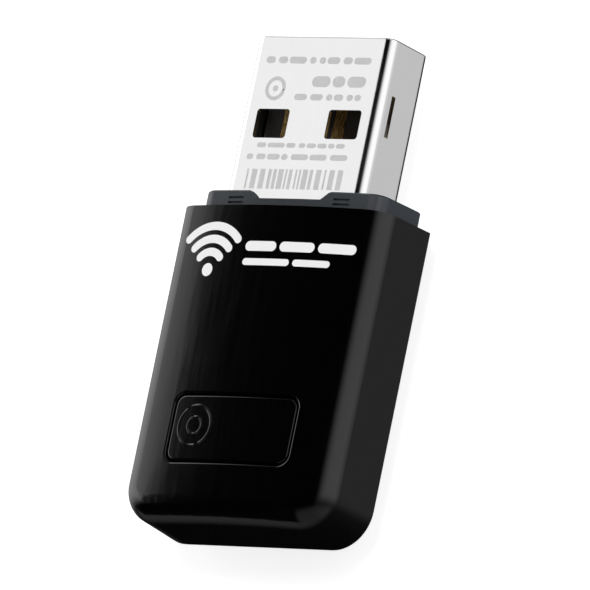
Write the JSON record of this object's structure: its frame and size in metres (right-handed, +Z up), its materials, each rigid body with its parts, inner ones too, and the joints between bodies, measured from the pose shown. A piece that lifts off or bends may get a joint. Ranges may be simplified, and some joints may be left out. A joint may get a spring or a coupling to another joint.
{
  "type": "usb wifi adapter",
  "caption": "Mini USB wireless network adapter: moulded case, nose collar, pressed-steel USB-A plug, circuit board and a sprung push key.",
  "frame": {"origin": "centre of the adapter's outline on the plane of its flat back", "axes": "+X across the width, +Y along the length towards the plug's tip, +Z up from the back to the face with the push key"},
  "size_m": [0.0186, 0.036, 0.0079],
  "materials": {
    "case_plastic": "high-gloss moulded black",
    "back_plastic": "fine-textured moulded black",
    "collar_plastic": "satin moulded blue-grey",
    "key_plastic": "high-gloss moulded black",
    "plug_steel": "bright nickel-plated sheet steel",
    "insulator_plastic": "moulded dark insulator",
    "contact_gold": "gold-plated contact strip",
    "board_laminate": "green solder mask on glass-fibre laminate",
    "chip_plastic": "moulded epoxy",
    "crystal_metal": "plated metal can",
    "ferrite": "sintered ferrite",
    "tantalum": "moulded yellow",
    "ceramic_tan": "fired ceramic",
    "tinned_metal": "tin-plated metal",
    "copper_trace": "copper under solder mask",
    "switch_plastic": "moulded black",
    "plunger_plastic": "moulded ivory"
  },
  "bodies": {
    "case": {"antenna_left": "copper_trace", "antenna_right": "copper_trace", "back_cover": "back_plastic", "capacitors": "ceramic_tan", "crystal": "crystal_metal", "esd_array": "chip_plastic", "ferrite_bead": "ferrite", "front_cover": "case_plastic", "main_board": "board_laminate", "memory_chip": "chip_plastic", "memory_leads": "tinned_metal", "nose_collar": "collar_plastic", "power_inductor": "ferrite", "reservoir_capacitor": "tantalum", "resistors": "chip_plastic", "rf_switch": "chip_plastic", "switch_base": "switch_plastic", "switch_dome": "tinned_metal", "switch_frame": "tinned_metal", "switch_terminals": "tinned_metal", "usb_contacts": "contact_gold", "usb_insulator": "insulator_plastic", "usb_shell": "plug_steel", "voltage_regulator": "chip_plastic", "wifi_chip": "chip_plastic"},
    "key": {"push_button": "key_plastic", "switch_plunger": "plunger_plastic"}
  },
  "joints": [
    {"name": "key_press", "type": "slide", "parent": "case", "child": "key", "axis": [0, 0, -1], "range_m": [0, 0.00025], "stiffness_N_per_m": 2400, "deforming": ["switch_dome"]}
  ]
}
